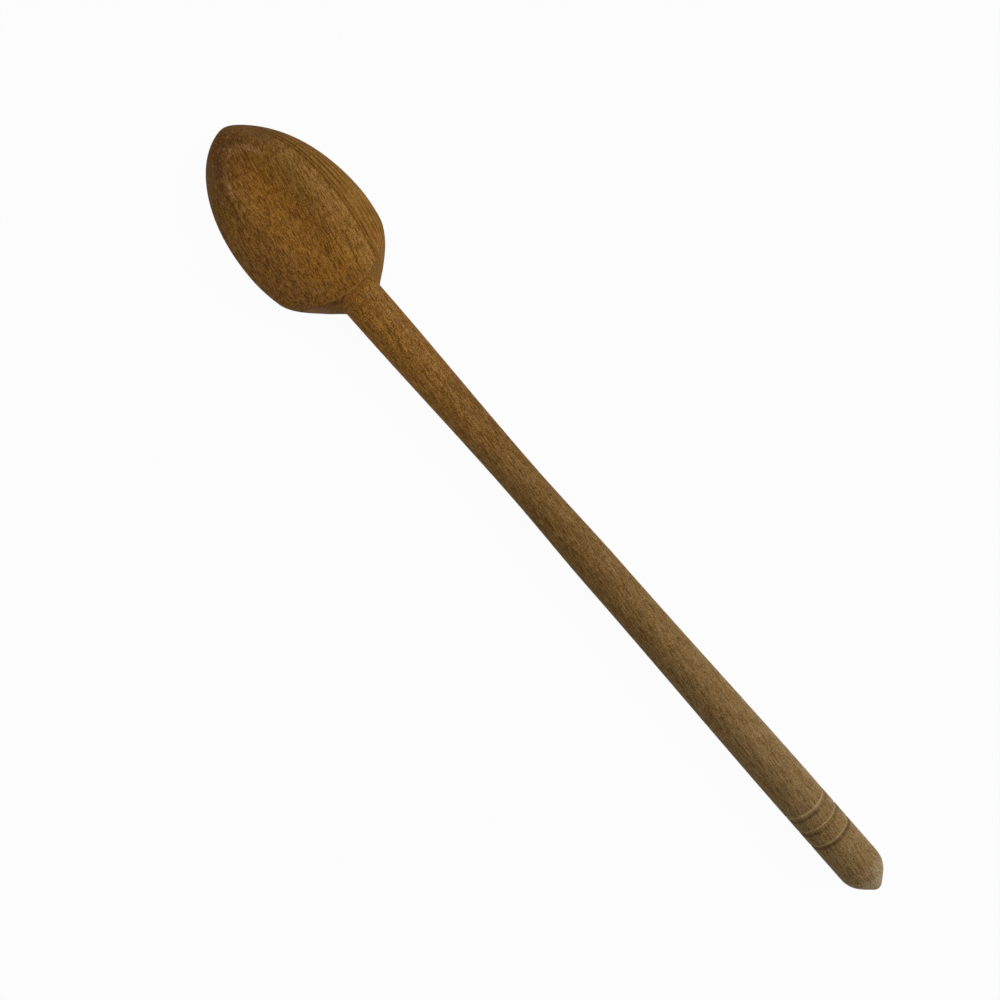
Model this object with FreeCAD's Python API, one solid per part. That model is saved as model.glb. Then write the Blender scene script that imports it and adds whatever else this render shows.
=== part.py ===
"""A turned wooden spoon: a bowl and a handle, joined by a glued tenon in the neck.

Lengths are in millimetres. +X runs from the tip of the bowl to the end of the handle, +Y goes across
the bowl and +Z up, out of the hollow. The spoon lies on its back on the plane z = 0, level, and the
origin is below the middle of its length. Places along the spoon are measured from the tip.
"""
import FreeCAD, Part
import math
import os

# Whole spoon
spoon_length = 300.0

# Bowl, seen from above
bowl_length = 66.4           # from the tip to the corner at the neck
bowl_width = 42.4
bowl_widest = 40.4           # from the tip to the widest place
rear_past_neck = 1.1         # from the corner at the neck to where the rear curve would close
rear_power = 2.1             # of the rear curve: 2 is an ellipse, and a higher power is fuller
tip_fullness_share = 0.28    # of half the width: a smaller share gives a sharper tip
flank_fullness_share = 0.69  # of the length from the tip to the widest place

# Bowl, seen from the side
crown_height = 9.4           # wood above the handle's centre line, before the hollow is cut
crown_power = 6              # of the crown's rear curve: a higher power keeps it level for longer
shoulder_angle = 45.9        # of the cone at the neck, from the centre line, in degrees
rear_place_shares = (0.0, 0.2, 0.4, 0.58, 0.73, 0.85, 0.95)  # of the rear reach, one for each section

# Hollow: the part of an egg-shaped cutter that reaches into the crown
hollow_depth = 4.0           # from the top of the crown down to the cutter, before it leans
hollow_lean = 4.6            # in degrees: the floor falls towards the tip
hollow_past_tip = 32.0       # how far the cutter reaches past the tip
hollow_past_neck = 21.6      # and past the corner at the neck
hollow_inside_side = 3.7     # how far it stays inside each side at the widest place
hollow_cutter_height = 40.0
rim_radius = 3.0             # worn edge around the hollow

# Handle, a turned stick
neck_diameter = 13.2
waist_diameter = 11.2
waist_place = 136.0          # from the tip
swell_diameter = 12.4
swell_place = 176.0          # from the tip
grip_diameter = 13.9
grip_start = 262.0           # from the tip to where the stick becomes a true cylinder

# End of the handle
cone_angle = 43.0            # from the centre line to the side of the cone, in degrees
nose_radius = 2.6            # rounded point of the cone
cone_edge_radius = 7.5       # rounded edge between the cylinder and the cone

# Three rings cut into the grip
ring_count = 3
ring_pitch = 5.45
ring_width = 1.2
ring_depth = 0.4
last_ring_from_end = 22.7

# Glued joint inside the neck
tenon_diameter = 8.0
tenon_length = 16.0
tenon_chamfer = 0.6
glue_gap = 0.1

# How far a cutter runs past the wood, and how near counts as touching
overrun = 5.0
touching = 0.001

half_width = bowl_width / 2
bowl_rear_reach = bowl_length + rear_past_neck - bowl_widest
hollow_cutter_length = hollow_past_tip + bowl_length + hollow_past_neck
hollow_cutter_width = bowl_width - 2 * hollow_inside_side
hollow_place = hollow_cutter_length / 2 - hollow_past_tip
hollow_floor = crown_height - hollow_depth
grip_radius = grip_diameter / 2
tenon_radius = tenon_diameter / 2
neck_radius = neck_diameter / 2
belly_depth = grip_radius    # the back is as deep as the grip, so the spoon lies level


def on_line(place, radius):
    """A point beside the handle's centre line, in the plane that is turned or swept."""
    return FreeCAD.Vector(place, radius, 0)


def line(start, end):
    return Part.LineSegment(start, end).toShape()


def turned(edges, degrees):
    """The solid that an outline makes when it turns about the handle's centre line."""
    face = Part.Face(Part.Wire(edges))
    return face.revolve(FreeCAD.Vector(), FreeCAD.Vector(1, 0, 0), degrees)


def polygon(points):
    return [line(start, end) for start, end in zip(points, points[1:] + points[:1])]


def stretched(shape, along, across, up):
    """A unit shape, or one turned about the centre line, stretched in the three directions."""
    stretch = FreeCAD.Matrix()
    stretch.scale(along, across, up)
    return shape.transformGeometry(stretch)


def in_place(shape):
    """Moves a piece from the centre line to where the spoon lies."""
    shape.translate(FreeCAD.Vector(-spoon_length / 2, 0, grip_radius))
    return shape


def front_half(height):
    """The bowl from the tip to the widest place, above the centre line, or below if height is negative."""
    tip = on_line(0, 0)
    side = on_line(bowl_widest, half_width)
    middle = on_line(bowl_widest, 0)
    outline = Part.BezierCurve()
    outline.setPoles([
        tip,
        on_line(0, half_width * tip_fullness_share),
        on_line(bowl_widest * (1 - flank_fullness_share), half_width),
        side,
    ])
    half = turned([outline.toShape(), line(side, middle), line(middle, tip)], math.copysign(180, height))
    return stretched(half, 1, 1, abs(height) / half_width)


def half_ellipse(across, height):
    """Half an ellipse above the centre line, or below it if height is negative."""
    arch = Part.Arc(FreeCAD.Vector(0, 1, 0), FreeCAD.Vector(0, 0, 1), FreeCAD.Vector(0, -1, 0))
    return stretched(arch.toShape(), 1, across, height)


def rear_section(share):
    """A section square to the centre line: the crown above, and the back, level to the neck, below."""
    across = half_width * (1 - share ** rear_power) ** (1 / rear_power)
    crown = crown_height * (1 - share ** crown_power) ** (1 / crown_power)
    section = Part.Wire([half_ellipse(across, crown), half_ellipse(across, -belly_depth)])
    section.translate(on_line(bowl_widest + bowl_rear_reach * share, 0))
    return section


def egg():
    """The whole head before the neck and the hollow are cut."""
    rear = Part.makeLoft([rear_section(share) for share in rear_place_shares], True, False)
    return rear.fuse([front_half(crown_height), front_half(-belly_depth)])


def neck_envelope():
    """What a cone cutter at the neck leaves of the head."""
    outside = half_width + overrun
    cone_start = bowl_length - (outside - neck_radius) / math.tan(math.radians(shoulder_angle))
    points = [
        on_line(-overrun, 0),
        on_line(-overrun, outside),
        on_line(cone_start, outside),
        on_line(bowl_length, neck_radius),
        on_line(bowl_length, 0),
    ]
    return turned(polygon(points), 360)


def hollow():
    """The egg-shaped cutter, with its poles on the centre line so that the floor is one smooth face."""
    ball = Part.makeSphere(1, FreeCAD.Vector(), FreeCAD.Vector(1, 0, 0))
    cutter = stretched(ball, hollow_cutter_length / 2, hollow_cutter_width / 2, hollow_cutter_height / 2)
    cutter.translate(FreeCAD.Vector(hollow_place, 0, hollow_floor + hollow_cutter_height / 2))
    cutter.rotate(FreeCAD.Vector(hollow_place, 0, hollow_floor), FreeCAD.Vector(0, 1, 0), -hollow_lean)
    return cutter


def socket():
    """The blind hole that takes the tenon with a film of glue."""
    deep = bowl_length - tenon_length - glue_gap
    length = tenon_length + glue_gap + overrun
    return Part.makeCylinder(tenon_radius + glue_gap, length, on_line(deep, 0), FreeCAD.Vector(1, 0, 0))


def with_soft_rim(head, outside, cutter):
    """Rounds the edges that lie on both the outside of the head and the hollow."""
    rim = []
    for edge in head.Edges:
        middle = Part.Vertex(edge.valueAt((edge.FirstParameter + edge.LastParameter) / 2))
        if all(shell.distToShape(middle)[0] < touching for shell in (outside.Shells[0], cutter.Shells[0])):
            rim.append(edge)
    return head.makeFillet(rim_radius, rim)


def bowl():
    outside = egg().common(neck_envelope())
    cutter = hollow()
    head = with_soft_rim(outside.cut(cutter), outside, cutter)
    return head.cut(socket())


def ring_points():
    """The stations of the rings, each a V cut into the grip."""
    points = []
    for number in range(ring_count):
        place = spoon_length - last_ring_from_end - ring_pitch * (ring_count - 1 - number)
        points.append(on_line(place - ring_width / 2, grip_radius))
        points.append(on_line(place, grip_radius - ring_depth))
        points.append(on_line(place + ring_width / 2, grip_radius))
    return points


def tenon_points():
    tenon_end = bowl_length - tenon_length
    return [
        on_line(tenon_end, 0),
        on_line(tenon_end, tenon_radius - tenon_chamfer),
        on_line(tenon_end + tenon_chamfer, tenon_radius),
        on_line(bowl_length, tenon_radius),
        on_line(bowl_length, neck_radius),
    ]


def stick_curve():
    """The long swell of the stick, from the neck through the waist to the grip."""
    curve = Part.BSplineCurve()
    curve.interpolate([
        on_line(bowl_length, neck_radius),
        on_line(waist_place, waist_diameter / 2),
        on_line(swell_place, swell_diameter / 2),
        on_line(grip_start, grip_radius),
    ], InitialTangent=FreeCAD.Vector(1, 0, 0), FinalTangent=FreeCAD.Vector(1, 0, 0))
    return curve.toShape()


def cone_edges(start):
    """The rounded edge, the side and the rounded point of the cone at the handle's end."""
    angle = math.radians(cone_angle)
    nose_middle = spoon_length - nose_radius
    side_end = on_line(nose_middle + nose_radius * math.sin(angle), nose_radius * math.cos(angle))
    corner = side_end.x - (grip_radius - side_end.y) / math.tan(angle)
    setback = cone_edge_radius * math.tan(angle / 2)
    edge_start = on_line(corner - setback, grip_radius)
    edge_end = on_line(corner + setback * math.cos(angle), grip_radius - setback * math.sin(angle))
    edge_middle = on_line(
        edge_start.x + cone_edge_radius * math.sin(angle / 2),
        grip_radius - cone_edge_radius * (1 - math.cos(angle / 2)),
    )
    halfway = (math.pi / 2 - angle) / 2
    nose_halfway = on_line(
        nose_middle + nose_radius * math.cos(halfway),
        nose_radius * math.sin(halfway),
    )
    return [
        line(start, edge_start),
        Part.Arc(edge_start, edge_middle, edge_end).toShape(),
        line(edge_end, side_end),
        Part.Arc(side_end, nose_halfway, on_line(spoon_length, 0)).toShape(),
    ]


def handle():
    tenon = tenon_points()
    grip = [on_line(grip_start, grip_radius)] + ring_points()
    edges = [line(start, end) for start, end in zip(tenon, tenon[1:])]
    edges.append(stick_curve())
    edges += [line(start, end) for start, end in zip(grip, grip[1:])]
    edges += cone_edges(grip[-1])
    edges.append(line(on_line(spoon_length, 0), tenon[0]))
    return turned(edges, 360)


os.makedirs("parts", exist_ok=True)
for name, piece in (("bowl", bowl()), ("handle", handle())):
    solid = in_place(piece)
    solid.exportStep(f"parts/{name}.step")
    box = solid.optimalBoundingBox()
    print(name, "solids", len(solid.Solids), "valid", solid.isValid(), "volume", round(solid.Volume))
    print("  from", round(box.XMin, 2), round(box.YMin, 2), round(box.ZMin, 2))
    print("  to", round(box.XMax, 2), round(box.YMax, 2), round(box.ZMax, 2))
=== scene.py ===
# %% [markdown]
# # A turned wooden spoon
# A cooking spoon of beech has a carved oval bowl and a turned handle, which is glued into the neck of
# the bowl. Both are here already as plain solids, in metres: +X runs from the tip of the bowl to the end
# of the handle, +Y goes across, and the spoon lies on z = 0. The solids carry the sizes. This lesson
# makes a finer mesh in the place of each, with wear and grain, and leaves the solids where they are.

# %% Load the solids
import math

import bpy
import numpy as np
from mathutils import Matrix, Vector


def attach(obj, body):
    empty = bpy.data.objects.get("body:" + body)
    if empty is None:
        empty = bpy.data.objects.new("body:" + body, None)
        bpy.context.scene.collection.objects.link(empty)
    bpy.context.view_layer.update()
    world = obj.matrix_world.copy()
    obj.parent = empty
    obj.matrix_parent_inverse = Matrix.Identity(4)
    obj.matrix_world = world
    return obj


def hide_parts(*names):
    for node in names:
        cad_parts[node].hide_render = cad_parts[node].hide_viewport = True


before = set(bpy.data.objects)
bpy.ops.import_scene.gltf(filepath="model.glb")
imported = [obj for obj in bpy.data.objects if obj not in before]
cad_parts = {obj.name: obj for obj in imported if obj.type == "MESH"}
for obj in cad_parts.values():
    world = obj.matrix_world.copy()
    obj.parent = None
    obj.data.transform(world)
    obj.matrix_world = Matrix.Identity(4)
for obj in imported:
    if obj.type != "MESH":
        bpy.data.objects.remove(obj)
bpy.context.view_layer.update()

# %% [markdown]
# ## Sizes
# All sizes are in millimetres, and places along the spoon are measured from its tip, because that is
# how a maker would mark them on the wood. Heights are counted from the handle's centre line. `spot`
# turns such a place into metres in the shared frame.

# %% Sizes of the whole spoon
MM = 0.001
SPOON_LENGTH = 300.0
AXIS_HEIGHT = 6.95
NECK_PLACE = 66.4
NECK_RADIUS = 6.6
TENON_RADIUS = 4.0
TENON_LENGTH = 16.0
GLUE_GAP = 0.1


def spot(along, across, up):
    """A place from the tip, across, and above the handle's centre line, in metres in the frame."""
    return ((along - SPOON_LENGTH / 2) * MM, across * MM, (up + AXIS_HEIGHT) * MM)


print("tip", spot(0, 0, 0), "neck", spot(NECK_PLACE, 0, 0))

# %% [markdown]
# ## Wires
# A node tree is arithmetic drawn as boxes. One small class wraps an output socket, and Python's own
# operators on it add Math nodes, so that a formula reads as a formula. Every other node comes from
# one method, `node`, which sets the node's options first and then fills its sockets.


# %% A wire in a node tree
class Wire:
    """An output socket of a node. Arithmetic on it adds Math nodes to its tree."""

    def __init__(self, tree, socket=None):
        self.tree = tree
        self.socket = socket

    def node(self, kind, settings=None, inputs=None, output=0):
        made = self.tree.nodes.new(kind)
        for name, value in (settings or {}).items():
            setattr(made, name, value)
        for key, value in (inputs or {}).items():
            if isinstance(value, Wire):
                self.tree.links.new(value.socket, made.inputs[key])
            else:
                made.inputs[key].default_value = value
        return Wire(self.tree, made.outputs[output]) if made.outputs else made

    def also(self, output):
        """Another output of the node that this wire comes from."""
        return Wire(self.tree, self.socket.node.outputs[output])

    def maths(self, operation, *values):
        return self.node("ShaderNodeMath", {"operation": operation}, dict(enumerate(values)))

    def __add__(self, other):
        return self.maths("ADD", self, other)

    __radd__ = __add__

    def __sub__(self, other):
        return self.maths("SUBTRACT", self, other)

    def __rsub__(self, other):
        return self.maths("SUBTRACT", other, self)

    def __mul__(self, other):
        return self.maths("MULTIPLY", self, other)

    __rmul__ = __mul__

    def __truediv__(self, other):
        return self.maths("DIVIDE", self, other)

    def __abs__(self):
        return self.maths("ABSOLUTE", self)

    def rise(self, low, high):
        """0 below low, 1 above high, and an even S-curve between."""
        return self.node("ShaderNodeMapRange", {"interpolation_type": "SMOOTHSTEP"},
                         {"Value": self, "From Min": low, "From Max": high})

    def ramp(self, low, high):
        """0 below low, 1 above high, and a straight line between."""
        return self.node("ShaderNodeMapRange", None, {"Value": self, "From Min": low, "From Max": high})

    def band(self, middle, half_width):
        """1 at the middle, and an even fall to 0 on both sides of it."""
        return 1 - abs(self - middle).rise(0, half_width)

    def blend(self, first, second):
        """Mixes two colours: the first where this wire is 0, the second where it is 1."""
        return self.node("ShaderNodeMix", {"data_type": "RGBA"}, {0: self, 6: first, 7: second}, output=2)


print("a wire has", ", ".join(name for name in vars(Wire) if not name.startswith("_")))

# %% [markdown]
# ## Camera
# The spoon is looked at from straight above and from close by, so the camera needs no tilt, only a
# turn about the upright. It could be moved by hand until the view fits, but two points of the picture
# settle it: where the tip and the end of the spoon's centre line show, in a picture of 1000 by 1000
# pixels. The distance follows from how strongly the near rim of the bowl looks larger.

# %% Camera above the spoon
PICTURE_SIZE = 1000
SENSOR_WIDTH = 36.0
FOCUS_PIXELS = 850.0
TIP_PIXEL = Vector((217.4, 133.1))
END_PIXEL = Vector((878.0, 886.8))

run = END_PIXEL - TIP_PIXEL
pixel_size = SPOON_LENGTH / run.length
turn = math.atan2(run.y, run.x)
offset = (TIP_PIXEL + END_PIXEL) / 2 - Vector((PICTURE_SIZE / 2, PICTURE_SIZE / 2))
right = offset.x * pixel_size
down = offset.y * pixel_size

camera_lens = bpy.data.cameras.new("camera")
camera_lens.sensor_width = SENSOR_WIDTH
camera_lens.lens = SENSOR_WIDTH * FOCUS_PIXELS / PICTURE_SIZE
camera = bpy.data.objects.new("camera", camera_lens)
camera.location = spot(
    SPOON_LENGTH / 2 - right * math.cos(turn) - down * math.sin(turn),
    -right * math.sin(turn) + down * math.cos(turn),
    FOCUS_PIXELS * pixel_size,
)
camera.rotation_euler = (0, 0, turn)
bpy.context.scene.collection.objects.link(camera)
bpy.context.scene.camera = camera
print("camera at", [round(value, 4) for value in camera.location], "turned", round(math.degrees(turn), 2))

# %% [markdown]
# ## Two materials, still empty
# Both pieces are beech, but food has stained the bowl and hands have worn the handle, so each gets a
# material of its own. They are only named here, because the shapes need to know them. Their nodes
# follow when the shapes are done.

# %% Empty materials
def empty_material(name):
    material = bpy.data.materials.new(name)
    material.use_nodes = True
    material.node_tree.nodes.clear()
    return material


bowl_beech = empty_material("bowl_beech")
handle_beech = empty_material("handle_beech")
print("materials", bowl_beech.name, handle_beech.name)

# %% [markdown]
# ## Handle
# The handle is turned on a lathe, so its whole shape is one rule: a radius for every place along it.
# It could be spun from a drawn profile, but a Geometry Nodes tree keeps the sizes as named inputs that
# a reader can change. A flat grid is the raw material. Its X becomes the place along the stick, and
# its Y becomes the angle around it.

# %% Sizes of the handle
HANDLE_SIZES = {
    "Neck place": NECK_PLACE, "Neck radius": NECK_RADIUS,
    "Waist place": 139.0, "Waist radius": 5.6,
    "Swell place": 176.0, "Swell radius": 6.2,
    "Grip place": 262.0, "Grip radius": AXIS_HEIGHT,
    "Tenon radius": TENON_RADIUS, "Tenon length": TENON_LENGTH,
    "Last ring": 277.3, "Ring pitch": 5.45, "Ring count": 3.0, "Ring width": 1.2, "Ring depth": 0.28,
    "Ring wander": 0.25,
    "Cone slope": math.tan(math.radians(43.0)), "Cone edge": 3.6, "Nose radius": 2.6,
    "End place": SPOON_LENGTH, "Wear": 0.05,
}
HANDLE_ROWS = 501
HANDLE_SIDES = 96
print(len(HANDLE_SIZES), "sizes for a grid of", HANDLE_ROWS, "by", HANDLE_SIDES)

# %% [markdown]
# The rows of the grid don't lie evenly along the stick. The rings and the cone need many, the plain
# stretch few, and at the two ends of the tenon several rows share one place, where the radius steps.
# The shares end on whole rows, because a row just beside a corner would leave a small groove there.

# %% The long swell and the tenon
END_FACE_STOP = 0.01
TENON_STOP = 0.03
SHOULDER_STOP = 0.04
STRETCH_STOP = 0.40
RINGS_STOP = 0.78


def stick_places(share, size):
    """Places along the stick for a share of the grid: level at the tenon's end and its shoulder."""
    tenon_end = size["Neck place"] - size["Tenon length"]
    rings_start = size["Last ring"] - size["Ring pitch"] * size["Ring count"]
    rings_end = size["Last ring"] + size["Ring pitch"] / 2
    return (tenon_end
            + share.ramp(END_FACE_STOP, TENON_STOP) * size["Tenon length"]
            + share.ramp(SHOULDER_STOP, STRETCH_STOP) * (rings_start - size["Neck place"])
            + share.ramp(STRETCH_STOP, RINGS_STOP) * (rings_end - rings_start)
            + share.ramp(RINGS_STOP, 1.0) * (size["End place"] - rings_end))


def stick_radius(share, along, size):
    """The long swell of the stick, or the tenon where the share of the grid is small."""
    stick = size["Neck radius"]
    for start, end in (("Neck", "Waist"), ("Waist", "Swell"), ("Swell", "Grip")):
        grown = size[f"{end} radius"] - size[f"{start} radius"]
        stick = stick + along.rise(size[f"{start} place"], size[f"{end} place"]) * grown
    tenon = share.ramp(0.0, END_FACE_STOP) * size["Tenon radius"]
    return tenon + share.ramp(TENON_STOP, SHOULDER_STOP) * (stick - size["Tenon radius"])


print("rows on the rings", round((RINGS_STOP - STRETCH_STOP) * (HANDLE_ROWS - 1)))

# %% [markdown]
# Three shallow rings decorate the grip, cut by touching the spinning wood with the corner of a chisel.
# One V that repeats at every pitch makes all three. The end is a cone with a worn point. A smooth
# minimum of the stick and the cone rounds the edge between them, as sandpaper on the lathe does.


# %% Rings and cone
def ring_cut(along, size):
    """How deep the chisel cuts at a place: a V at each ring, and nothing elsewhere."""
    half_pitch = size["Ring pitch"] / 2
    from_ring = along.maths("WRAP", along - size["Last ring"], half_pitch, half_pitch * -1)
    first = size["Last ring"] - size["Ring pitch"] * (size["Ring count"] - 0.5)
    inside = along.maths("COMPARE", along, (first + size["Last ring"] + half_pitch) / 2,
                         size["Ring pitch"] * size["Ring count"] / 2)
    return inside * size["Ring depth"] * (1 - abs(from_ring).ramp(0.0, size["Ring width"] / 2))


def cone_radius(along, size):
    """The cone at the end, with a rounded point."""
    from_nose = along - (size["End place"] - size["Nose radius"])
    steep = from_nose.maths("SQRT", 1 + size["Cone slope"] * size["Cone slope"])
    side = size["Nose radius"] * steep - from_nose * size["Cone slope"]
    inside = size["Nose radius"] * size["Nose radius"] - from_nose * from_nose
    ball = inside.maths("SQRT", inside.maths("MAXIMUM", inside, 0.0))
    past = from_nose.maths("GREATER_THAN", from_nose, size["Nose radius"] * size["Cone slope"] / steep)
    return side + past * (ball - side)


ring_places = [HANDLE_SIZES["Last ring"] - HANDLE_SIZES["Ring pitch"] * number for number in (2, 1, 0)]
print("rings at", [round(place, 2) for place in ring_places])

# %% [markdown]
# The tree puts these rules together. Two soft noises stand for use: one lets the rings wander a
# little, and one leaves shallow dents. Noise has no seed here, so it is the same at every run. The rows
# at both ends and at the seam of the grid meet, and merging them closes the skin.

# %% The tree of the turned handle
NOISE_PER_MM = 0.12
WANDER_SCALE = 1.1
WANDER_GAIN = 4
DENT_SCALE = 4.0
DENT_GAIN = 2
DENTS_START = (0.05, 0.1)
DENTS_STOP = (0.97, 1.0)
MERGE_DISTANCE = 0.001 * MM


def handle_tree(material):
    tree = bpy.data.node_groups.new("turned handle", "GeometryNodeTree")
    tree.interface.new_socket("Geometry", in_out="OUTPUT", socket_type="NodeSocketGeometry")
    for name, value in HANDLE_SIZES.items():
        tree.interface.new_socket(name, in_out="INPUT", socket_type="NodeSocketFloat").default_value = value
    sizes = Wire(tree).node("NodeGroupInput")
    size = {name: sizes.also(name) for name in HANDLE_SIZES}
    grid = sizes.node("GeometryNodeMeshGrid", None, {
        "Size X": 1.0, "Size Y": 1.0, "Vertices X": HANDLE_ROWS, "Vertices Y": HANDLE_SIDES + 1})
    on_grid = sizes.node("ShaderNodeSeparateXYZ", None, {0: sizes.node("GeometryNodeInputPosition")})
    share = on_grid + 0.5
    angle = (on_grid.also("Y") + 0.5) * math.tau
    across = angle.maths("COSINE", angle)
    up = angle.maths("SINE", angle)
    along = stick_places(share, size)

    around = sizes.node("ShaderNodeCombineXYZ", None, {
        "X": along * NOISE_PER_MM, "Y": across, "Z": up})
    wander, dents = [
        sizes.node("ShaderNodeTexNoise", None, {"Vector": around, "Scale": scale, "Detail": detail}) - 0.5
        for scale, detail in ((WANDER_SCALE, 1.0), (DENT_SCALE, 2.0))]
    cut = ring_cut(along + wander * size["Ring wander"] * WANDER_GAIN, size)
    turned = stick_radius(share, along, size) - cut
    radius = turned.maths("SMOOTH_MIN", turned, cone_radius(along, size), size["Cone edge"])
    worn = dents * size["Wear"] * DENT_GAIN
    radius = radius + worn * share.rise(*DENTS_START) * (1 - share.rise(*DENTS_STOP))
    radius = radius.maths("MAXIMUM", radius, 0.0)

    place = sizes.node("ShaderNodeCombineXYZ", None, {
        "X": (along - SPOON_LENGTH / 2) * MM,
        "Y": radius * across * MM,
        "Z": (radius * up + AXIS_HEIGHT) * MM,
    })
    shaped = sizes.node("GeometryNodeSetPosition", None, {"Geometry": grid, "Position": place})
    closed = sizes.node("GeometryNodeMergeByDistance", None, {
        "Geometry": shaped, "Distance": MERGE_DISTANCE})
    smooth = sizes.node("GeometryNodeSetShadeSmooth", None, {"Geometry": closed})
    real = sizes.node("GeometryNodeRealizeInstances", None, {"Geometry": smooth})
    done = sizes.node("GeometryNodeSetMaterial", None, {"Geometry": real, "Material": material})
    sizes.node("NodeGroupOutput", None, {"Geometry": done})
    return tree


turned_handle = handle_tree(handle_beech)
print("turned handle", len(turned_handle.nodes), "nodes")

# %% [markdown]
# A modifier on an empty blank runs the tree, and the result becomes a plain mesh of its own, so that
# the blank and its modifier can go. Two things are then measured: whether the skin is closed, which
# means that every edge has two faces, and whether the faces look outwards, by the sign of the volume.

# %% From the tree to a mesh
HARD_EDGE = math.radians(50)


def open_edges(mesh):
    """How many edges don't have two faces."""
    uses = np.zeros(len(mesh.loops), dtype=np.int32)
    mesh.loops.foreach_get("edge_index", uses)
    return int((np.bincount(uses, minlength=len(mesh.edges)) != 2).sum())


def enclosed_volume(mesh):
    """The volume inside a closed mesh: negative if its faces look inwards."""
    mesh.calc_loop_triangles()
    points = np.zeros(3 * len(mesh.vertices))
    mesh.vertices.foreach_get("co", points)
    corners = np.zeros(3 * len(mesh.loop_triangles), dtype=np.int32)
    mesh.loop_triangles.foreach_get("vertices", corners)
    first, second, third = points.reshape(-1, 3)[corners.reshape(-1, 3)].transpose(1, 0, 2)
    return np.einsum("ij,ij->i", first, np.cross(second, third)).sum() / 6


def finished_piece(name, mesh):
    """An object at the origin for a closed mesh, with hard edges kept and faces turned outwards."""
    mesh.name = name
    mesh.set_sharp_from_angle(angle=HARD_EDGE)
    if enclosed_volume(mesh) < 0:
        mesh.flip_normals()
    piece = bpy.data.objects.new(name, mesh)
    bpy.context.scene.collection.objects.link(piece)
    print(name, len(mesh.polygons), "faces", open_edges(mesh), "open edges",
          round(enclosed_volume(mesh) / MM**3), "cubic millimetres")
    return piece


blank = bpy.data.objects.new("blank", bpy.data.meshes.new("blank"))
bpy.context.scene.collection.objects.link(blank)
modifier = blank.modifiers.new("turned handle", "NODES")
modifier.node_group = turned_handle
for item in turned_handle.interface.items_tree:
    if item.in_out == "INPUT":
        modifier[item.identifier] = HANDLE_SIZES[item.name]
view = bpy.context.evaluated_depsgraph_get()
handle_mesh = bpy.data.meshes.new_from_object(blank.evaluated_get(view))
bpy.data.objects.remove(blank)
handle = finished_piece("turned_handle", handle_mesh)

# %% [markdown]
# ## Bowl
# The bowl is carved, so no single curve makes it. It could be modelled by hand with a subdivided cage,
# but the maker's steps can be followed in numbers instead. A raw head is built ring by ring, and each
# ring is half an ellipse above the centre line and half one below it. Then come the cuts of the bench:
# the hollow, the shoulder at the neck, and the hole for the tenon.

# %% Outline of the bowl
HALF_WIDTH = 21.2
WIDEST = 40.4
REAR_REACH = 38.0
REAR_POWER = 1.77
CROWN = 9.4
CROWN_POWER = 3
BELLY = AXIS_HEIGHT
TIP_FULLNESS = 0.28
FLANK_FULLNESS = 0.692
TIP_THINNESS = 0.75
TIP_THIN_REACH = 22.0
SHOULDER_START = 56.0
FRONT_RINGS = 95
FLANK_RINGS = 39
SHOULDER_RINGS = 95


def smooth_step(share):
    """0 below 0, 1 above 1, and an even S-curve between, for arrays."""
    share = np.clip(share, 0, 1)
    return share**2 * (3 - 2 * share)


def front_rings():
    """Place, half width and heights from the tip to the widest place, along one Bezier curve."""
    u = np.linspace(0, 1, FRONT_RINGS + 1)[1:]
    place = 3 * (1 - u) * u**2 * WIDEST * (1 - FLANK_FULLNESS) + u**3 * WIDEST
    half = 3 * (1 - u)**2 * u * HALF_WIDTH * TIP_FULLNESS + (3 * (1 - u) * u**2 + u**3) * HALF_WIDTH
    thick = TIP_THINNESS + (1 - TIP_THINNESS) * smooth_step(place / TIP_THIN_REACH)
    return place, half, half * CROWN / HALF_WIDTH * thick, half * BELLY / HALF_WIDTH


def rear_rings():
    """The same from the widest place to the neck, closest together at the shoulder."""
    place = np.concatenate([
        np.linspace(WIDEST, SHOULDER_START, FLANK_RINGS + 1)[1:],
        np.linspace(SHOULDER_START, NECK_PLACE, SHOULDER_RINGS + 1)[1:]])
    share = (place - WIDEST) / REAR_REACH
    half = HALF_WIDTH * (1 - share**REAR_POWER)**(1 / REAR_POWER)
    crown = CROWN * (1 - share**CROWN_POWER)**(1 / CROWN_POWER)
    return place, half, crown, np.full_like(place, BELLY)


head_along, head_half, head_crown, head_belly = [
    np.concatenate(pair)[:, None] for pair in zip(front_rings(), rear_rings())]
print("rings", len(head_along), "widest", round(2 * head_half.max(), 2))

# %% [markdown]
# Towards the neck the upper half of a ring isn't quite an ellipse but a little pointed, because the
# maker left a soft ridge in the middle. A power of the sine brings it in slowly.

# %% Raw head
BOWL_SIDES = 288
NECK_PEAK = 0.25

around = np.linspace(0, math.tau, BOWL_SIDES, endpoint=False)[None, :]
peak = NECK_PEAK * smooth_step((head_along - WIDEST) / (NECK_PLACE - WIDEST))
arch = np.sin(around) * np.abs(np.sin(around))**np.where(np.sin(around) > 0, 2 * peak, 0)
head_across = head_half * np.cos(around)
head_up = np.where(np.sin(around) > 0, head_crown, head_belly) * arch
head_along = np.broadcast_to(head_along, head_across.shape)
print("raw head from", round(head_up.min(), 2), "to", round(head_up.max(), 2))

# %% [markdown]
# A bent gouge scoops the hollow, which is shallow and deepest towards the tip. A boolean would cut it
# with a hard rim. Here the floor is the lower side of an egg, and a smooth minimum of the wood and the
# floor leaves the rim rounded, as years of scraping leave it.

# %% Hollow
HOLLOW_MIDDLE = 28.0
HOLLOW_FLOOR = 5.4
HOLLOW_TILT = 0.08
HOLLOW_REACH = (60.0, 17.5, 20.0)
HOLLOW_EDGE = 0.02
RIM_SOFTNESS = 1.8


def smooth_min(first, second, softness):
    """The lower of two values, with the corner between them rounded."""
    share = np.clip(0.5 + 0.5 * (second - first) / softness, 0, 1)
    return second * (1 - share) + first * share - softness * share * (1 - share)


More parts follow.
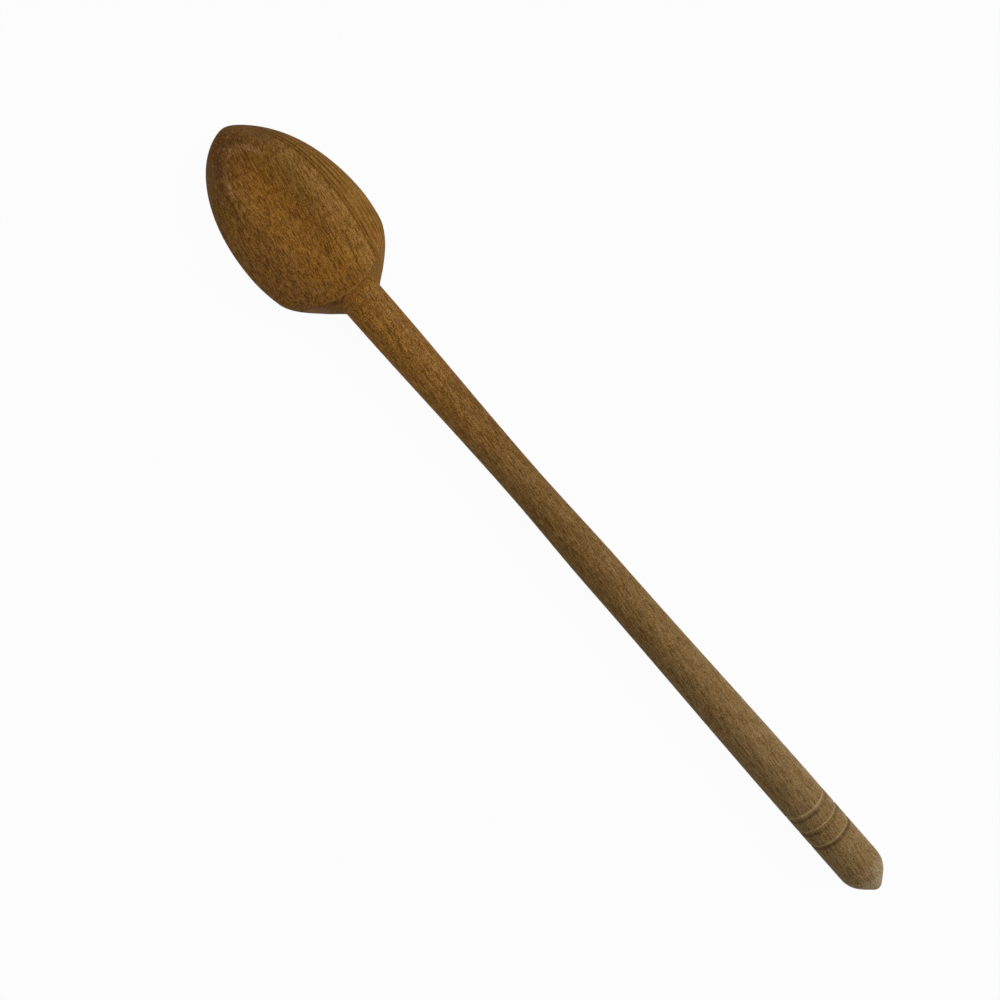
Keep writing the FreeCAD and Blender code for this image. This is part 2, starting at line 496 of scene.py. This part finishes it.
reach_along, reach_across, reach_up = HOLLOW_REACH
inside = 1 - ((head_along - HOLLOW_MIDDLE) / reach_along)**2 - (head_across / reach_across)**2
floor_up = HOLLOW_FLOOR + HOLLOW_TILT * (head_along - HOLLOW_MIDDLE)
floor_up = floor_up + reach_up * (1 - np.sqrt(np.clip(inside, HOLLOW_EDGE, 1)))
scooped = np.where(head_up > 0, smooth_min(head_up, floor_up, RIM_SOFTNESS), head_up)
print("hollow takes away", round((head_up - scooped).max(), 2))
head_up = scooped

# %% [markdown]
# A cone-shaped cutter turns the shoulder where the bowl meets the neck, and leaves a crisp lip above.
# At the sides, hands and cloths have worn that lip away, so the edge is softer there. How far each
# point lies from the lip is kept, because the finish needs it later.

# %% Shoulder
SHOULDER_SLOPE = math.tan(math.radians(50.7))
NECK_CORNER = 0.6
LIP_SOFTNESS = 0.35
SIDE_SOFTNESS = 4.8
SIDE_STEEPNESS = 0.15
SIDE_FADE = 0.35

head_radius = np.hypot(head_across, head_up)
upright = smooth_step((np.abs(head_up) / head_radius - SIDE_STEEPNESS) / SIDE_FADE)
before_neck = np.hypot(NECK_PLACE - head_along, NECK_CORNER) - NECK_CORNER
shoulder = NECK_RADIUS + SHOULDER_SLOPE * before_neck
past_lip = head_radius - shoulder
turned_radius = smooth_min(head_radius, shoulder, LIP_SOFTNESS + SIDE_SOFTNESS * (1 - upright))
head_across = head_across * turned_radius / head_radius
head_up = head_up * turned_radius / head_radius
print("lip starts at", round(head_along[past_lip > 0].min(), 2))

# %% [markdown]
# A used spoon isn't even. Its tip is worn to one side, and the shoulder leans a little the same way.
# Two soft bends across the bowl do it, and both fade before the neck, which must meet the handle.

# %% Lean of a worn bowl
TIP_LEAN = 1.52
TIP_LEAN_REACH = 2.38
SHOULDER_LEAN = 0.34
SHOULDER_LEAN_PLACE = 60.0
SHOULDER_LEAN_REACH = 5.0
NECK_FADE = 3.0

from_lean = (head_along - SHOULDER_LEAN_PLACE) / SHOULDER_LEAN_REACH
shoulder_lean = SHOULDER_LEAN * np.exp(-from_lean**2)
head_across = head_across + TIP_LEAN * np.exp(-head_along / TIP_LEAN_REACH)
head_across = head_across + shoulder_lean * smooth_step((NECK_PLACE - head_along) / NECK_FADE)
print("bowl from", round(head_across.min(), 2), "to", round(head_across.max(), 2), "across")

# %% [markdown]
# The rings become a skin of four-sided faces, closed at the tip by a fan. Two more rings and a second
# fan make the end face of the neck and the blind hole for the tenon. The distance from the lip goes
# into a named attribute of the mesh, where a material can read it. The hole counts as far from it.

# %% Skin of the bowl
FAR_FROM_LIP = 20.0


def socket_ring(place):
    """One ring of points on the wall of the hole."""
    hole = TENON_RADIUS + GLUE_GAP
    sides = around[0]
    return np.stack([np.full(BOWL_SIDES, place), hole * np.cos(sides), hole * np.sin(sides)], axis=1)


socket_end = NECK_PLACE - TENON_LENGTH - GLUE_GAP
rings = [np.stack(ring, axis=1) for ring in zip(head_along, head_across, head_up)]
rings += [socket_ring(NECK_PLACE), socket_ring(socket_end)]
points = [spot(0, TIP_LEAN, 0)] + [spot(*point) for ring in rings for point in ring]
points.append(spot(socket_end, 0, 0))
first_of_ring = [1 + number * BOWL_SIDES for number in range(len(rings))]
faces = []
for side in range(BOWL_SIDES):
    beside = (side + 1) % BOWL_SIDES
    faces.append((0, 1 + beside, 1 + side))
    for here, there in zip(first_of_ring, first_of_ring[1:]):
        faces.append((here + side, here + beside, there + beside, there + side))
    faces.append((first_of_ring[-1] + side, first_of_ring[-1] + beside, len(points) - 1))

bowl_mesh = bpy.data.meshes.new("carved_bowl")
bowl_mesh.from_pydata(points, [], faces)
bowl_mesh.shade_smooth()
bowl_mesh.materials.append(bowl_beech)
lip_values = np.full(len(points), FAR_FROM_LIP, dtype=np.float32)
lip_values[1:1 + past_lip.size] = past_lip.ravel()
bowl_mesh.attributes.new("lip", "FLOAT", "POINT").data.foreach_set("value", lip_values)
bowl = finished_piece("carved_bowl", bowl_mesh)

# %% [markdown]
# ## Beech
# Beech is a pink-brown wood with short dark flecks, the ends of its rays, which all run with the grain.
# It could be painted or taken from a photograph, but noise and cells that are stretched along the grain
# give it in every size and on every side. They are read in Object coordinates, in millimetres, so the
# pattern goes through the wood like real grain. A level around 1 makes the wood lighter or darker:
# lighter wood is also paler, though never blue, and darker wood is redder.

# %% Places and colours
DARKEST_LEVEL = 0.3
GREEN_PALING = 1.3
MOST_BLUE = 2.7


def places(tree):
    """Where a point of the piece is, in millimetres: the vector, along from the tip, across, and up."""
    metres = tree.node("ShaderNodeTexCoord", output="Object")
    place = tree.node("ShaderNodeVectorMath", {"operation": "SCALE"}, {0: metres, "Scale": 1 / MM})
    x = tree.node("ShaderNodeSeparateXYZ", None, {0: place})
    return place, x + SPOON_LENGTH / 2, x.also("Y"), x.also("Z") - AXIS_HEIGHT


def tone(red, green, blue):
    """A colour as it is read off a screen, turned into the linear values that the shader works in."""
    def linear(level):
        share = level / 255
        return share / 12.92 if share <= 0.04045 else ((share + 0.055) / 1.055) ** 2.4
    return (linear(red), linear(green), linear(blue), 1.0)


def lit(colour, level, paling):
    """A colour at a level around 1. Paling is the power by which its blue follows the level."""
    level = level.maths("MAXIMUM", level, DARKEST_LEVEL)
    blue = level.maths("POWER", level, paling)
    share = level.node("ShaderNodeCombineXYZ", None, {
        "X": level,
        "Y": level.maths("POWER", level, GREEN_PALING),
        "Z": blue.maths("MINIMUM", blue, MOST_BLUE),
    })
    return level.node("ShaderNodeVectorMath", {"operation": "MULTIPLY"}, {0: colour, 1: share})


def count_nodes(material, stage):
    """Prints how far the tree of a material has grown."""
    print(material.name, len(material.node_tree.nodes), "nodes", stage)


print("a middle brown", [round(level, 3) for level in tone(115, 77, 31)])

# %% [markdown]
# The grain is laid in layers, from wide bands to pores, as it grew. Streaks are noise, pulled long.
# Flecks are cells, pulled long too, with a dash of random size in each. The grain crosses the length of
# the spoon at a small angle, because the wood wasn't split quite straight, and more so in the bowl.

# %% Layers of grain
BOWL_DRIFT = -12.0
HANDLE_DRIFT = -7.0
FLECK_EDGE = (-0.06, 0.04)


def grained(place, length, width, drift, shift=0.0):
    """Places counted in lengths along the grain and widths across it. The grain drifts by an angle."""
    return place.node("ShaderNodeMapping", {"vector_type": "TEXTURE"}, {
        "Vector": place, "Location": (shift, shift, shift),
        "Rotation": (0, 0, math.radians(drift)), "Scale": (length, width, width)})


def streaks(place, length, width, drift, detail=2.0):
    """Soft streaks along the grain, from 0 to 1 about a middle of one half."""
    return place.node("ShaderNodeTexNoise", None, {
        "Vector": grained(place, length, width, drift), "Scale": 1.0, "Detail": detail, "Roughness": 0.6})


def flecks(place, length, width, drift, size, shift=0.0):
    """Short dashes, one in each cell of a stretched pattern, of mixed sizes."""
    cell = place.node("ShaderNodeTexVoronoi", None, {
        "Vector": grained(place, length, width, drift, shift), "Scale": 1.0, "Randomness": 1.0})
    chance = place.node("ShaderNodeSeparateColor", None, {0: cell.also("Color")})
    return 1 - (cell - chance * size).rise(*FLECK_EDGE)


def grain(place, drift):
    """Six layers: wide bands, mottle and fibre about 0, then fine dark, long dark and pale flecks."""
    broad = streaks(place, 26.0, 6.0, drift) - 0.5
    mottle = streaks(place, 2.4, 1.7, drift, 3.0) - 0.5
    long_fibre = streaks(place, 7.0, 0.42, drift, 2.0) - 0.5
    short_fibre = streaks(place, 1.3, 0.36, drift, 2.0) - 0.5
    pores = streaks(place, 0.36, 0.30, drift, 0.0) - 0.5
    fibre = long_fibre * 0.8 + short_fibre * 0.6 + pores * 0.8
    fine = flecks(place, 2.4, 0.46, drift, 0.64)
    dash = flecks(place, 4.6, 0.52, drift, 0.50)
    pale = flecks(place, 3.0, 0.42, drift, 0.60, 37.0)
    return broad, mottle, fibre, fine, dash, pale


print("grain drifts", BOWL_DRIFT, "degrees in the bowl and", HANDLE_DRIFT, "in the handle")

# %% [markdown]
# ## Finish of the bowl
# The middle of the bowl has kept a warm brown, and the side towards the light is painted paler, as
# light falls on it. Food has stained the tip, darkest in an arc some millimetres inside the rim, while
# the rim itself is worn smooth. Each mark is a soft mask in places along and across, which could also
# be painted by hand, but as a formula it stays sharp at every size.

# %% Colours of the bowl
BOWL_TONES = {
    "side": tone(115, 76, 25), "middle": tone(126, 82, 20), "lit flank": tone(133, 96, 39),
    "stain": tone(78, 48, 12), "tip rim": tone(101, 71, 35), "edge shade": tone(70, 58, 34),
    "fine fleck": tone(70, 40, 8), "dash": tone(62, 35, 8), "pale fleck": tone(158, 112, 54),
    "red streak": tone(150, 84, 46), "frayed": tone(158, 120, 78),
    "lip grime and shade": tone(60, 36, 8), "notch": tone(54, 32, 8), "worn lip": tone(160, 122, 72),
    "neck grime and shade": tone(84, 54, 16), "end grain": tone(138, 102, 74),
}
print(len(BOWL_TONES), "colours on the bowl")

# %% Tones and stain of the bowl
ARC_CURVE = 0.15
ARC_PLACE = 10.0
STAIN_CURVE = 0.035

bowl_wood = Wire(bowl_beech.node_tree)
place, along, across, up = places(bowl_wood)
broad, mottle, fibre, fine, dash, pale = grain(place, BOWL_DRIFT)

centre = 1 - abs(across + broad * 6 - 1.0).rise(3.0, 13.0)
colour = centre.blend(BOWL_TONES["side"], BOWL_TONES["middle"])
# Painted light: the flank towards the lamp is made paler.
colour = (across.rise(1.0, 13.0) * 0.8).blend(colour, BOWL_TONES["lit flank"])

upper = up.rise(0.0, 1.0)
from_middle = across + 1
arc = along - from_middle * from_middle * ARC_CURVE - ARC_PLACE
stain = 1 - (along - across * across * STAIN_CURVE + broad * 7 + mottle * 5).rise(8.0, 27.0)
stain = stain * (1 - across.rise(3.0, 10.0) * 0.6)
stain = stain * (0.66 + (arc + mottle * 6).band(-5.0, 4.2) * 0.34)
colour = (stain * 0.9).blend(colour, BOWL_TONES["stain"])
tip_rim = (1 - (arc + mottle * 4).rise(-11.0, -7.5)) * (1 - along.rise(11.0, 19.0)) * upper
colour = (tip_rim * 0.6).blend(colour, BOWL_TONES["tip rim"])
count_nodes(bowl_beech, "with its tones")

# %% [markdown]
# The tree's growth rings come out on one flank as dark lines that follow the edge. They are flat layers
# through the wood, so a tilted plane counts them: its distance, divided by their spacing, gives a
# phase, and each line is a band of it. The innermost is the strongest, and a smooth spot hides a few.

# %% Growth rings
PLANE_UP = 0.906
PLANE_ACROSS = 0.42
PLANE_ALONG = 0.0494
PLANE_START = 2.04
RING_WAVE = 0.14
RING_SPACING = 1.3

ring_depth = up * PLANE_UP - across * PLANE_ACROSS - along * PLANE_ALONG + PLANE_START
ring_depth = ring_depth + mottle * RING_WAVE
ring_zone = (1 - ring_depth.rise(0.0, 0.8)) * across.rise(3.0, 8.0) * up.rise(-4.0, -1.0)
ring_phase = ring_depth.maths("FRACT", ring_depth / RING_SPACING)
smooth_spot = along.band(44.0, 7.0) * across.rise(15.0, 17.0)
strength = 0.45 + streaks(place, 16.0, 1.3, 0.0).rise(0.35, 0.6) * 0.55
strength = strength * (1 - smooth_spot * 0.75)
first_ring = ring_depth.band(0.1, 0.5) * across.rise(9.0, 12.0)
ring_line = ring_phase.band(0.45, 0.34) * ring_zone * strength * (1 - first_ring) + first_ring * 0.8
count_nodes(bowl_beech, "with its growth rings")

# %% [markdown]
# Now the grain goes over the tones: fibre and rings as lighter and darker wood, and the flecks in
# their own colours. Where the rings show, where the rim is smooth and where the tip cuts the fibres end
# on, there is less of it. The left flank and a patch in the middle have faded, a patch beside that one
# is darker, a redder streak lies at the end of the right flank, and the outer edge is a little grey,
# which is painted shade where the sides of the bowl are steepest.

# %% Grain of the bowl
end_on = 1 - (along - across * across * 0.03).rise(1.0, 9.0)
plain = (1 - ring_zone * 0.5) * (1 - tip_rim * 0.5) * (1 - end_on * 0.4)
faded = (1 - across.rise(-15.0, -4.0)) * along.band(20.0, 24.0) * 0.22
faded = faded + across.band(5.0, 4.0) * along.band(19.0, 14.0) * 0.12
faded = faded - across.band(9.5, 4.0) * along.band(10.0, 6.0) * 0.14
colour = lit(colour, 1 + faded, 0.4)
level = 1 + broad * 0.12 + mottle * 0.28 * (1 - end_on * 0.4) + fibre * 1.85 * plain
colour = lit(colour, level - ring_line * 0.6, 4.4 - across.rise(1.0, 9.0) * 1.2)
dark_and_pale = ((fine, 0.42, "fine fleck"), (dash, 0.50, "dash"), (pale, 0.40, "pale fleck"))
for layer, share, name in dark_and_pale:
    colour = (layer * plain * share).blend(colour, BOWL_TONES[name])
red_streak = along.band(56.2, 4.5) * across.band(14.9, 1.5) * upper
colour = (red_streak * 0.32).blend(colour, BOWL_TONES["red streak"])
# Painted shade: a grey band round the outer edge of the bowl, where its sides are steepest.
colour = (up.band(0.5, 1.6) * 0.3).blend(colour, BOWL_TONES["edge shade"])
count_nodes(bowl_beech, "with its grain")

# %% [markdown]
# Where the tip has scraped over pans, the fibres stand up pale and frayed, in three patches along an
# arc. They are flecks again, thin and light, and only where the arc and the patches let them through.

# %% Scuffs
patches = across.band(-8.6, 3.4) + across.band(-1.0, 2.6) * 0.7 + across.band(4.2, 3.6)
strokes = flecks(place, 1.7, 0.34, -7.0, 0.66, 11.0) * 0.9 + 0.1
scraped = (arc + (across + 8.6) * 0.13).band(0.2, 3.4) * (1 - abs(from_middle).rise(7.2, 9.6))
frayed = scraped * (0.15 + patches * 0.85) * strokes
colour = (frayed * upper).blend(colour, BOWL_TONES["frayed"])
count_nodes(bowl_beech, "with its scuffs")

# %% [markdown]
# The lip above the neck is rubbed pale on its edge. Behind it lies grime mixed with painted shade,
# most of all on the left, away from the lamp, and darkest as a painted shadow where the lip is notched
# at the left. A band of painted shade, partly grime, darkens the top of the shoulder next to the neck.
# The cut side of the shoulder shows paler end grain. These marks follow the lip itself, so they read
# the distance that the mesh has kept for them.

# %% Lip and neck
NOTCH_ALONG = 63.66
NOTCH_ACROSS = -2.85
NOTCH_SLANT = 0.3065

lip = bowl_wood.node("ShaderNodeAttribute", {"attribute_name": "lip"}, output="Fac")
on_top = up.rise(1.0, 4.0)
# Grime and painted shade behind the lip, heaviest on the left, away from the lamp.
lip_grime_and_shade = lip.rise(0.05, 0.35) * (1 - lip.rise(0.5, 1.8)) * (0.4 - across.rise(-14.0, -9.0) * 0.3)
lip_grime_and_shade = lip_grime_and_shade + lip.rise(0.1, 0.5) * (1 - lip.rise(1.0, 2.8)) * across.band(-7.0, 2.4) * 0.7
from_notch = along - NOTCH_ALONG + (across - NOTCH_ACROSS) * NOTCH_SLANT
# A painted shadow in the notched crease at the left of the neck.
notch = from_notch.band(0.0, 0.55) * across.band(-4.5, 2.8)
worn = lip.band(-0.10, 0.34) * (mottle + 0.5).rise(0.25, 0.6) * (1 - abs(across).rise(8.0, 12.0))
end_grain = lip.rise(0.6, 1.6) * (1 - across.rise(-13.0, -9.0)) * (1 - up.rise(2.0, 6.0))
colour = (lip_grime_and_shade * on_top).blend(colour, BOWL_TONES["lip grime and shade"])
colour = (notch * on_top * 0.75).blend(colour, BOWL_TONES["notch"])
colour = (worn * on_top * 0.4).blend(colour, BOWL_TONES["worn lip"])
# Painted shade, partly grime, on the top of the shoulder next to the neck.
colour = (along.band(63.8, 4.0) * on_top * 0.28).blend(colour, BOWL_TONES["neck grime and shade"])
colour = (end_grain * 0.5).blend(colour, BOWL_TONES["end grain"])
count_nodes(bowl_beech, "with its lip")

# %% [markdown]
# Bare wood is matt. Colour, roughness and a fine relief go into one shader, with little specular shine.
# The relief is far too fine for the mesh, about a tenth of a millimetre, so a Bump node carries it.

# %% Matt shader
RELIEF_STRENGTH = 0.6
RELIEF_DEPTH = 0.12 * MM
SHINE = 0.1


def finish_wood(tree, colour, roughness, height):
    """Joins colour, roughness and fine relief into one matt shader."""
    relief = tree.node("ShaderNodeBump", None, {
        "Strength": RELIEF_STRENGTH, "Distance": RELIEF_DEPTH, "Height": height})
    shader = tree.node("ShaderNodeBsdfPrincipled", None, {
        "Base Color": colour, "Roughness": roughness, "Normal": relief, "Specular IOR Level": SHINE})
    tree.node("ShaderNodeOutputMaterial", None, {"Surface": shader})


finish_wood(bowl_wood, colour, 0.68 + mottle * 0.2 + fine * 0.08,
            0.5 + fibre * 0.6 - fine * 0.3 - dash * 0.4 - ring_line * 0.3 + frayed * 0.5)
count_nodes(bowl_beech, "in all")

# %% [markdown]
# ## Finish of the handle
# The handle is warm brown at the neck, duller at the waist and greyer at the grip, where hands have
# washed it out, and it is palest on the cone. The side towards the lamp is painted lighter, on the cone
# too, and along the grip its edge is painted paler still: this is painted light. On that side there are
# also fewer dark flecks and some pale flakes. The same names now stand for places on the handle. One
# correction belongs to the neck and the waist: there the two sides differ less than the light alone
# would make them.

# %% Colours of the handle
HANDLE_TONES = {
    "neck": tone(132, 87, 24), "waist": tone(109, 78, 33), "grip": tone(113, 89, 52),
    "lit side": tone(121, 93, 52), "lit edge": tone(150, 132, 100), "cone": tone(140, 125, 97),
    "fine fleck": tone(72, 48, 18), "dash": tone(62, 41, 15), "pale fleck": tone(150, 114, 68),
    "flake": tone(150, 122, 82), "ring grime and shade": tone(50, 34, 10), "rubbed": tone(165, 138, 100),
}
print(len(HANDLE_TONES), "colours on the handle")

# %% Tones and grain of the handle
EVEN_NECK = 0.0167
EVEN_WAIST = 0.026

handle_wood = Wire(handle_beech.node_tree)
place, along, across, up = places(handle_wood)
broad, mottle, fibre, fine, dash, pale = grain(place, HANDLE_DRIFT)
flake = flecks(place, 1.7, 0.9, 0.0, 0.6)

# Painted light: the side towards the lamp is made lighter.
lit_side = across.rise(-2.5, 4.5)
colour = along.rise(75.0, 150.0).blend(HANDLE_TONES["neck"], HANDLE_TONES["waist"])
colour = along.rise(140.0, 270.0).blend(colour, HANDLE_TONES["grip"])
colour = (lit_side * 0.25).blend(colour, HANDLE_TONES["lit side"])
# Painted light: a paler band on the edge towards the lamp, along the grip.
lit_edge = across.rise(4.4, 6.8) * along.rise(170.0, 225.0)
colour = (lit_edge * 0.3).blend(colour, HANDLE_TONES["lit edge"])
# The cone is paler all round and painted lighter still on the side towards the lamp.
pale_and_lit_cone = along.rise(288.5, 295.0) * (0.4 + across.rise(-2.0, 2.5) * 0.4)
colour = pale_and_lit_cone.blend(colour, HANDLE_TONES["cone"])

even = (1 - along.rise(140.0, 168.0)) * EVEN_NECK + along.band(120.0, 36.0) * EVEN_WAIST
dull = along.band(98.0, 45.0) * 0.05
fibre_share = 2.4 - along.rise(80.0, 140.0) * 0.55 - along.rise(180.0, 250.0) * 0.2
level = 1 + broad * 0.1 + fibre * fibre_share + mottle * 0.1 - across * even - dull
colour = lit(colour, level, 3.8 - along.rise(90.0, 230.0) * 1.5)
washed = along.rise(180.0, 250.0) * 0.1
colour = (fine * (0.38 - lit_side * 0.14 - washed)).blend(colour, HANDLE_TONES["fine fleck"])
colour = (dash * (0.46 - lit_side * 0.16 - washed)).blend(colour, HANDLE_TONES["dash"])
colour = (pale * 0.28).blend(colour, HANDLE_TONES["pale fleck"])
colour = (flake * lit_side * 0.08).blend(colour, HANDLE_TONES["flake"])
count_nodes(handle_beech, "with its grain")

# %% [markdown]
# Grime has settled in the three rings, unevenly: most in the last. It is mixed with painted shade: it
# is darkest on the side away from the light, and it lies on the far wall of each ring, which faces away
# from the lamp, and a little past it. The near edge is rubbed pale. The phase of the pitch finds the
# rings, and a coarse noise breaks the grime and shade up.

# %% Dirt in the rings
RINGED_START = (263.4, 263.8)
RINGED_STOP = (279.6, 280.0)

half_pitch = HANDLE_SIZES["Ring pitch"] / 2
from_last = along + mottle * 0.5 - HANDLE_SIZES["Last ring"]
from_ring = along.maths("WRAP", from_last, half_pitch, -half_pitch)
ringed = along.rise(*RINGED_START) * (1 - along.rise(*RINGED_STOP))
patch = streaks(place, 2.6, 2.6, 0.0) - 0.5
in_first = 1 - along.rise(268.5, 269.5)
in_last = along.rise(274.0, 275.0)
# Grime, with painted shade: more on the side away from the lamp.
grime_and_shade = patch * 1.8 + (1 - across.rise(-5.5, 4.0)) * 0.6 + across.rise(4.5, 6.5) * 0.5
grime_and_shade = grime_and_shade + in_last * 0.35 + in_first * 0.15
groove = (from_ring + in_last * 0.3 - in_first * 0.1).band(0.9, 0.8)
groove = groove * ringed * grime_and_shade.rise(-0.2, 0.5)
ridge = from_ring.band(-0.30, 0.50) + from_ring.band(0.0, 0.9) * in_first * 0.5
rubbed = ridge * ringed * (mottle + 0.5).rise(0.2, 0.6)
colour = (groove * 0.66).blend(colour, HANDLE_TONES["ring grime and shade"])
colour = (rubbed * 0.55).blend(colour, HANDLE_TONES["rubbed"])

finish_wood(handle_wood, colour, 0.66 + mottle * 0.2 + fine * 0.08,
            0.5 + fibre * 0.5 - fine * 0.3 - dash * 0.4 + mottle * 0.3)
count_nodes(handle_beech, "in all")

# %% [markdown]
# ## Pieces in place
# Each finished piece now takes the place of its solid, which is hidden. Nothing on a spoon moves, so
# both ride on the root.

# %% Pieces in the place of the solids
for piece, node in ((bowl, "bowl"), (handle, "handle")):
    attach(piece, "root")
    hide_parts(node)
    print(piece.name, "replaces", node)

# %% [markdown]
# ## Floor
# The spoon lies on a plain pale table, and the picture shows that table as nearly white. More light
# would make it white, but the wood would be too bright. So the floor mixes a matt surface, which keeps
# the shadow, with a white glow that only the camera and reflections see. Far away it is all glow, so
# that no horizon shows from a low view.

# %% Pale floor
FLOOR_HALF = 3.0
FLOOR_DROP = 0.1 * MM
FLOOR_GREY = (0.5, 0.5, 0.5, 1)
WHITE = (1, 1, 1, 1)
NEAR_GLOW = 0.96
GLOW_FADE = (0.2, 1.2)


def seen_share(tree):
    """1 where the camera, a reflection or a view through glass looks, and 0 for light on its way."""
    ray = tree.node("ShaderNodeLightPath", output="Is Camera Ray")
    seen = ray + ray.also("Is Glossy Ray") + ray.also("Is Transmission Ray")
    return seen.maths("MINIMUM", seen, 1.0)


floor_material = empty_material("pale_floor")
paper = Wire(floor_material.node_tree)
matt = paper.node("ShaderNodeBsdfDiffuse", None, {"Color": FLOOR_GREY})
white = paper.node("ShaderNodeEmission", None, {"Color": WHITE, "Strength": 1.0})
spread = paper.node("ShaderNodeVectorMath", {"operation": "LENGTH"}, {
    0: paper.node("ShaderNodeTexCoord", output="Object")}, output="Value")
glow_share = seen_share(paper) * (NEAR_GLOW + spread.rise(*GLOW_FADE) * (1 - NEAR_GLOW))
mixed = paper.node("ShaderNodeMixShader", None, {0: glow_share, 1: matt, 2: white})
paper.node("ShaderNodeOutputMaterial", None, {"Surface": mixed})

floor_mesh = bpy.data.meshes.new("floor")
signs = ((-1, -1), (1, -1), (1, 1), (-1, 1))
corners = [(x * FLOOR_HALF, y * FLOOR_HALF, -FLOOR_DROP) for x, y in signs]
floor_mesh.from_pydata(corners, [], [(0, 1, 2, 3)])
floor_mesh.materials.append(floor_material)
floor = bpy.data.objects.new("floor", floor_mesh)
bpy.context.scene.collection.objects.link(floor)
print("floor", 2 * FLOOR_HALF, "metres wide")

# %% [markdown]
# ## Light
# One large soft lamp stands to the right, so the right flank is bright and the left one falls off
# gently. An even white sky fills the shadows. The sky is full white only where it is seen, for the
# same reason as the floor.

# %% Lamp and sky
LAMP_DISTANCE = 0.9
LAMP_WIDTH = 0.45
LAMP_HEIGHT_ANGLE = math.radians(36.0)
LAMP_SIDE_ANGLE = math.radians(62.0)
LAMP_STRENGTH = 0.66
SKY_STRENGTH = 0.56

lamp_light = bpy.data.lights.new("soft_lamp", "AREA")
lamp_light.shape = "DISK"
lamp_light.size = LAMP_WIDTH
lamp_light.energy = LAMP_STRENGTH * math.pi**2 * LAMP_DISTANCE**2
lamp = bpy.data.objects.new("soft_lamp", lamp_light)
lamp.location = LAMP_DISTANCE * Vector((
    math.cos(LAMP_HEIGHT_ANGLE) * math.cos(LAMP_SIDE_ANGLE),
    math.cos(LAMP_HEIGHT_ANGLE) * math.sin(LAMP_SIDE_ANGLE),
    math.sin(LAMP_HEIGHT_ANGLE),
))
lamp.rotation_euler = lamp.location.to_track_quat("Z", "Y").to_euler()
bpy.context.scene.collection.objects.link(lamp)

world = bpy.data.worlds.new("studio")
world.use_nodes = True
world.node_tree.nodes.clear()
sky = Wire(world.node_tree)
sky_strength = SKY_STRENGTH + seen_share(sky) * (1 - SKY_STRENGTH)
glow = sky.node("ShaderNodeBackground", None, {"Color": WHITE, "Strength": sky_strength})
sky.node("ShaderNodeOutputWorld", None, {"Surface": glow})
bpy.context.scene.world = world
bpy.context.scene.view_settings.view_transform = "Standard"
print("lamp at", [round(value, 3) for value in lamp.location])

# %% [markdown]
# ## End
# Wear must not make the spoon bigger than its solids.

# %% End of the scene
print("end of the scene")
